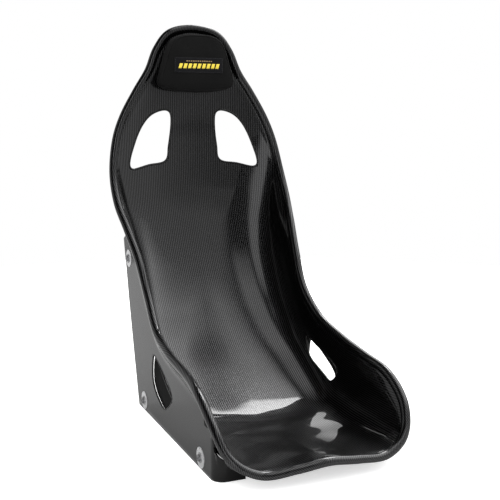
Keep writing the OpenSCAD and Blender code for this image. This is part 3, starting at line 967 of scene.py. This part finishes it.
def color_mix(tree, factor, low, high):
    """Colour that runs from low to high as the factor runs from 0 to 1."""
    node = tree.nodes.new("ShaderNodeMix")
    node.data_type = "RGBA"
    node.inputs["A"].default_value = (*low, 1)
    node.inputs["B"].default_value = (*high, 1)
    tree.links.new(factor, node.inputs["Factor"])
    return node.outputs["Result"]


def noise_over(tree, scale, detail, roughness=0.5):
    """Noise over the piece's own coordinates."""
    place = tree.nodes.new("ShaderNodeTexCoord")
    noise = tree.nodes.new("ShaderNodeTexNoise")
    noise.inputs["Scale"].default_value = scale
    noise.inputs["Detail"].default_value = detail
    noise.inputs["Roughness"].default_value = roughness
    tree.links.new(place.outputs["Object"], noise.inputs["Vector"])
    return noise.outputs["Fac"]


def add_bump(tree, shader, height, strength, distance):
    bump = tree.nodes.new("ShaderNodeBump")
    bump.inputs["Strength"].default_value = strength
    bump.inputs["Distance"].default_value = distance
    tree.links.new(height, bump.inputs["Height"])
    tree.links.new(bump.outputs["Normal"], shader.inputs["Normal"])


def carbon_material():
    """Clear-coated carbon cloth: ribs along the warp, with weft tows crossing over and under."""
    made, tree, shader = material("carbon_cloth", (0.03, 0.03, 0.032), 0.3, 1.0)
    uv = tree.nodes.new("ShaderNodeUVMap")
    uv.uv_map = "weave"
    parts = tree.nodes.new("ShaderNodeSeparateXYZ")
    tree.links.new(uv.outputs["UV"], parts.inputs[0])
    across = math_node(tree, "DIVIDE", parts.outputs["X"], TOW)
    down = math_node(tree, "DIVIDE", parts.outputs["Y"], TOW)
    cell = math_node(tree, "ADD", math_node(tree, "FLOOR", across), math_node(tree, "FLOOR", down))
    which = math_node(tree, "LESS_THAN", math_node(tree, "FLOORED_MODULO", cell, 2.0), 0.5)
    warp = math_node(tree, "PINGPONG", math_node(tree, "ADD", across, 0.5), 0.5)
    weft = math_node(tree, "PINGPONG", math_node(tree, "ADD", down, 0.5), 0.5)
    warp_round = math_node(tree, "MULTIPLY", warp, 2.0)
    weft_round = math_node(tree, "MULTIPLY", weft, 2.0)
    rib = math_node(tree, "SINE", math_node(tree, "MULTIPLY", across, math.pi))
    rib = math_node(tree, "MULTIPLY_ADD", rib, 0.5, 0.5)
    over = math_node(tree, "MULTIPLY", which, weft_round)
    under = math_node(tree, "MULTIPLY", math_node(tree, "SUBTRACT", 1.0, which), warp_round)
    cloth = math_node(tree, "ADD", over, under)
    height = math_node(tree, "MULTIPLY_ADD", rib, 0.7, math_node(tree, "MULTIPLY", cloth, 0.3))
    glint = soft_step(tree, rib, 0.3, 0.8)
    glint = math_node(tree, "MULTIPLY", glint, math_node(tree, "MULTIPLY_ADD", cloth, 0.5, 0.5))
    color = color_mix(tree, glint, (0.0006, 0.0006, 0.0006), (0.1, 0.1, 0.103))
    tree.links.new(color, shader.inputs["Base Color"])
    rough = math_node(tree, "MULTIPLY_ADD", cloth, 0.1, 0.26)
    tree.links.new(rough, shader.inputs["Roughness"])
    grain = tree.nodes.new("ShaderNodeTangent")
    grain.direction_type = "UV_MAP"
    grain.uv_map = "weave"
    tree.links.new(grain.outputs["Tangent"], shader.inputs["Tangent"])
    shader.inputs["Anisotropic"].default_value = 0.75
    turned = math_node(tree, "MULTIPLY", which, 0.25)
    tree.links.new(turned, shader.inputs["Anisotropic Rotation"])
    add_bump(tree, shader, height, 0.25, 0.0003)
    shader.inputs["Coat Weight"].default_value = 1.0
    shader.inputs["Coat Roughness"].default_value = 0.015
    shader.inputs["Coat IOR"].default_value = 1.5
    return made


def grey(level):
    return (level, level, level)


def gloss_material(name, coat_roughness):
    """Smooth black laminate, slightly uneven under its clear coat."""
    made, tree, shader = material(name, grey(0.004), 0.4)
    noise = noise_over(tree, 9, 4)
    tree.links.new(color_mix(tree, noise, grey(0.003), grey(0.006)), shader.inputs["Base Color"])
    shader.inputs["Specular IOR Level"].default_value = 0.05
    add_bump(tree, shader, noise, 0.04, 0.002)
    shader.inputs["Coat Weight"].default_value = 1.0
    shader.inputs["Coat Roughness"].default_value = coat_roughness
    return made


def cloth_material(name, low, high, scale, sheen, bump_depth):
    """Matt surface with a fine nap, whose colour varies finely and broadly."""
    made, tree, shader = material(name, low, 0.95)
    fine = noise_over(tree, scale, 6, 0.7)
    broad = math_node(tree, "MULTIPLY", noise_over(tree, 22, 3), 0.5)
    both = math_node(tree, "MULTIPLY_ADD", fine, 0.5, broad)
    tree.links.new(color_mix(tree, both, low, high), shader.inputs["Base Color"])
    add_bump(tree, shader, fine, 0.5, bump_depth)
    shader.inputs["Sheen Weight"].default_value = sheen
    shader.inputs["Sheen Roughness"].default_value = 0.4
    shader.inputs["Specular IOR Level"].default_value = 0.2
    return made


def metal_material(name, color, roughness):
    """Metal with slightly uneven colour and polish."""
    made, tree, shader = material(name, color, roughness, METAL_SHARE)
    noise = noise_over(tree, 160, 5)
    rough = math_node(tree, "MULTIPLY_ADD", noise, 0.2, roughness - 0.1)
    tree.links.new(rough, shader.inputs["Roughness"])
    dark = tuple(0.8 * c for c in color)
    tree.links.new(color_mix(tree, noise, dark, color), shader.inputs["Base Color"])
    return made


carbon = carbon_material()
laminate = gloss_material("smooth_laminate", 0.05)
soft_laminate = gloss_material("cut_edge_laminate", 0.3)
suede = cloth_material("pad_suede_cloth", grey(0.002), grey(0.006), 900, 0.02, 0.0004)
patch_cloth = cloth_material(
    "label_weave", (0.002, 0.002, 0.003), (0.008, 0.008, 0.009), 1500, 0.1, 0.0002
)
yellow = cloth_material(
    "label_yellow_thread", (0.5, 0.38, 0.03), (0.85, 0.68, 0.1), 1500, 0.1, 0.0002
)
tan_thread = cloth_material(
    "label_tan_thread", (0.2, 0.12, 0.06), (0.4, 0.3, 0.15), 1500, 0.1, 0.0002
)
dark_thread = cloth_material(
    "stitch_thread", (0.01, 0.01, 0.012), (0.03, 0.03, 0.034), 1500, 0.2, 0.0002
)
tape = cloth_material("hook_and_loop", grey(0.01), grey(0.03), 1200, 0.2, 0.0005)
rubber = cloth_material("rubber", grey(0.01), grey(0.02), 400, 0.0, 0.0001)
resin = cloth_material("bare_resin", grey(0.004), grey(0.012), 700, 0.0, 0.0003)
board = cloth_material("board", grey(0.02), grey(0.04), 300, 0.0, 0.0001)
steel = metal_material("plated_steel", (0.9, 0.9, 0.91), 0.3)
plain_steel = metal_material("plain_steel", (0.5, 0.5, 0.51), 0.3)
bolt_metal = metal_material("bolt_steel", (0.3, 0.3, 0.31), 0.25)
alloy = metal_material("insert_alloy", (0.65, 0.66, 0.68), 0.35)


def dress(piece, made):
    piece.data.materials.clear()
    piece.data.materials.append(made)


def dress_node(name, made):
    """Gives a CAD node that stays visible its material, in every slot."""
    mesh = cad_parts[name].data
    if not mesh.materials:
        mesh.materials.append(made)
    for i in range(len(mesh.materials)):
        mesh.materials[i] = made


dress(shell, carbon)
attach(shell, "seat")
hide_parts("seat_shell")
for piece in slot_lips + sleeves:
    dress(piece, resin if piece in sleeves else laminate)
    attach(piece, "seat")
for side, (panel, lip) in panels.items():
    for piece in (panel, lip):
        dress(piece, laminate if piece is panel else soft_laminate)
        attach(piece, "seat")
    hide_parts("left_side_panel" if side < 0 else "right_side_panel")
dress(pad, suede)
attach(pad, "head_pad")
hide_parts("pad_cover", "pad_foam")
for piece, made, node, slot in (
    (piping, suede, "pad_piping", "pad_suede"),
    (label, patch_cloth, "pad_label", "label_cloth"),
    (band, yellow, "label_band", "label_yellow"),
    (thread, dark_thread, "label_stitching", "label_thread"),
):
    dress(piece, made)
    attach(piece, "head_pad")
    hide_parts(node)
dress(fine_row, tan_thread)
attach(fine_row, "head_pad")
for side in ("left", "right"):
    dress_node(f"{side}_threaded_inserts", alloy)
    dress_node(f"{side}_rubber_washers", rubber)
    dress_node(f"{side}_wide_washers", steel)
    dress_node(f"{side}_small_washers", plain_steel)
    dress_node(f"{side}_mounting_bolts", bolt_metal)
dress_node("pad_hook_strips", tape)
dress_node("pad_loop_strips", tape)
dress_node("pad_backing", board)

# ---------------------------------------------------------------- floor, light and camera
FLOOR_RADIUS = 2.2
# The floor glows a little as it is seen, and is darker to everything that mirrors or is lit by it.
FLOOR_GLOW = 0.55
FLOOR_MIRRORED = 0.36
# Brightness of the sky over matt surfaces, and of each light bank where it is mirrored.
DOME = 2.0
MAIN_BANK = 1.6
REAR_BANK = 9.0
OVERHEAD_BANK = 1.25
WALL_GLOW = 0.6
FILL = 0.4
BACKDROP = 0.45
STUDIO_DARK = 0.03
# The camera's place in metres, its angles in degrees, and its lens and sensor in millimetres.
CAMERA_PLACE = (-0.7259, -1.7055, 0.6557)
CAMERA_TURN = -23.0
CAMERA_TILT = 8.72
LENS = 64.8
SENSOR_WIDTH = 36


def floor_material():
    """Pale floor, with the look that the camera sees kept apart from the one that is mirrored."""
    made, tree, shader = material("floor", grey(0.9), 0.9)
    color = color_mix(tree, noise_over(tree, 3, 2), grey(0.88), grey(0.92))
    tree.links.new(color, shader.inputs["Base Color"])
    shader.inputs["Specular IOR Level"].default_value = 0.0
    shader.inputs["Emission Color"].default_value = (1, 1, 1, 1)
    shader.inputs["Emission Strength"].default_value = FLOOR_GLOW
    mirrored = tree.nodes.new("ShaderNodeBsdfDiffuse")
    mirrored.inputs["Color"].default_value = (*grey(FLOOR_MIRRORED), 1)
    path = tree.nodes.new("ShaderNodeLightPath")
    choice = tree.nodes.new("ShaderNodeMixShader")
    tree.links.new(path.outputs["Is Camera Ray"], choice.inputs[0])
    tree.links.new(mirrored.outputs[0], choice.inputs[1])
    tree.links.new(shader.outputs[0], choice.inputs[2])
    output = [n for n in tree.nodes if n.type == "OUTPUT_MATERIAL"][0]
    tree.links.new(choice.outputs[0], output.inputs["Surface"])
    return made


bpy.ops.mesh.primitive_circle_add(radius=FLOOR_RADIUS, vertices=96, fill_type="NGON")
floor = bpy.context.object
floor.name = "floor"
dress(floor, floor_material())


def times(tree, *factors):
    """Product of any number of outputs and numbers."""
    out = factors[0]
    for factor in factors[1:]:
        out = math_node(tree, "MULTIPLY", out, factor)
    return out


def studio_world():
    """White room to look at, an even dome for matt surfaces, and long light banks to mirror.

    A direction is given by front and high, by roll, its angle round the front-to-back axis from
    the right over the top, and by turn, its angle on the compass from the front to the right.
    """
    world = bpy.data.worlds.new("studio")
    scene.world = world
    world.use_nodes = True
    tree = world.node_tree
    look = tree.nodes.new("ShaderNodeTexCoord")
    parts = tree.nodes.new("ShaderNodeSeparateXYZ")
    tree.links.new(look.outputs["Generated"], parts.inputs[0])
    right, back, high = parts.outputs
    front = math_node(tree, "MULTIPLY", back, -1.0)
    degree = math.degrees(1)
    roll = math_node(tree, "MULTIPLY", math_node(tree, "ARCTAN2", high, right), degree)
    turn = math_node(tree, "MULTIPLY", math_node(tree, "ARCTAN2", right, front), degree)

    def window(value, low, full, full_end, end):
        """1 between full and full_end, fading to 0 at low and end."""
        return times(tree, soft_step(tree, value, low, full), soft_step(tree, value, end, full_end))

    above = soft_step(tree, high, -0.25, -0.1)
    main = times(
        tree, soft_step(tree, front, 0.75, 0.3), soft_step(tree, front, -0.9, -0.8),
        window(roll, 20, 38, 66, 72), MAIN_BANK,
        math_node(tree, "MULTIPLY_ADD", soft_step(tree, front, 0.5, 0.1), 0.4, 1.0),
    )
    fill = times(
        tree, soft_step(tree, roll, 72, 69), soft_step(tree, high, 0.05, 0.2),
        soft_step(tree, front, -0.95, -0.85), FILL,
    )
    rear = times(
        tree, window(front, -0.62, -0.52, -0.35, -0.31), window(roll, 50, 56, 67, 69), REAR_BANK
    )
    glow = math_node(tree, "MINIMUM", math_node(tree, "MULTIPLY_ADD", front, -2.1, 2.3), WALL_GLOW)
    glow = times(
        tree, glow, soft_step(tree, roll, 74, 66), soft_step(tree, front, -0.1, 0.2), above
    )
    overhead = times(
        tree, window(roll, 70, 76, 88, 98), window(front, -0.5, 0, 0.55, 0.75), OVERHEAD_BANK
    )
    stripe = times(
        tree, window(turn, -36, -28, -14, -5), soft_step(tree, high, 0.88, 0.75), above,
        OVERHEAD_BANK,
    )
    backdrop = times(
        tree, soft_step(tree, front, 0.05, -0.15), soft_step(tree, high, 0.75, 0.5), BACKDROP
    )
    light = STUDIO_DARK
    for bank in (main, fill, rear, glow, overhead, stripe, backdrop):
        light = math_node(tree, "MAXIMUM", bank, light)
    path = tree.nodes.new("ShaderNodeLightPath")
    for flag, level in (("Is Diffuse Ray", DOME), ("Is Camera Ray", 1.0)):
        choice = tree.nodes.new("ShaderNodeMix")
        tree.links.new(path.outputs[flag], choice.inputs["Factor"])
        tree.links.new(light, choice.inputs["A"])
        choice.inputs["B"].default_value = level
        light = choice.outputs["Result"]
    sky = tree.nodes["Background"]
    sky.inputs["Color"].default_value = (1, 1, 1, 1)
    tree.links.new(light, sky.inputs["Strength"])


studio_world()

camera_data = bpy.data.cameras.new("camera")
camera_data.lens = LENS
camera_data.sensor_width = SENSOR_WIDTH
camera = bpy.data.objects.new("camera", camera_data)
scene.collection.objects.link(camera)
camera.location = CAMERA_PLACE
camera.rotation_euler = (math.radians(90 - CAMERA_TILT), 0, math.radians(CAMERA_TURN))
scene.camera = camera
scene.view_settings.view_transform = "Standard"
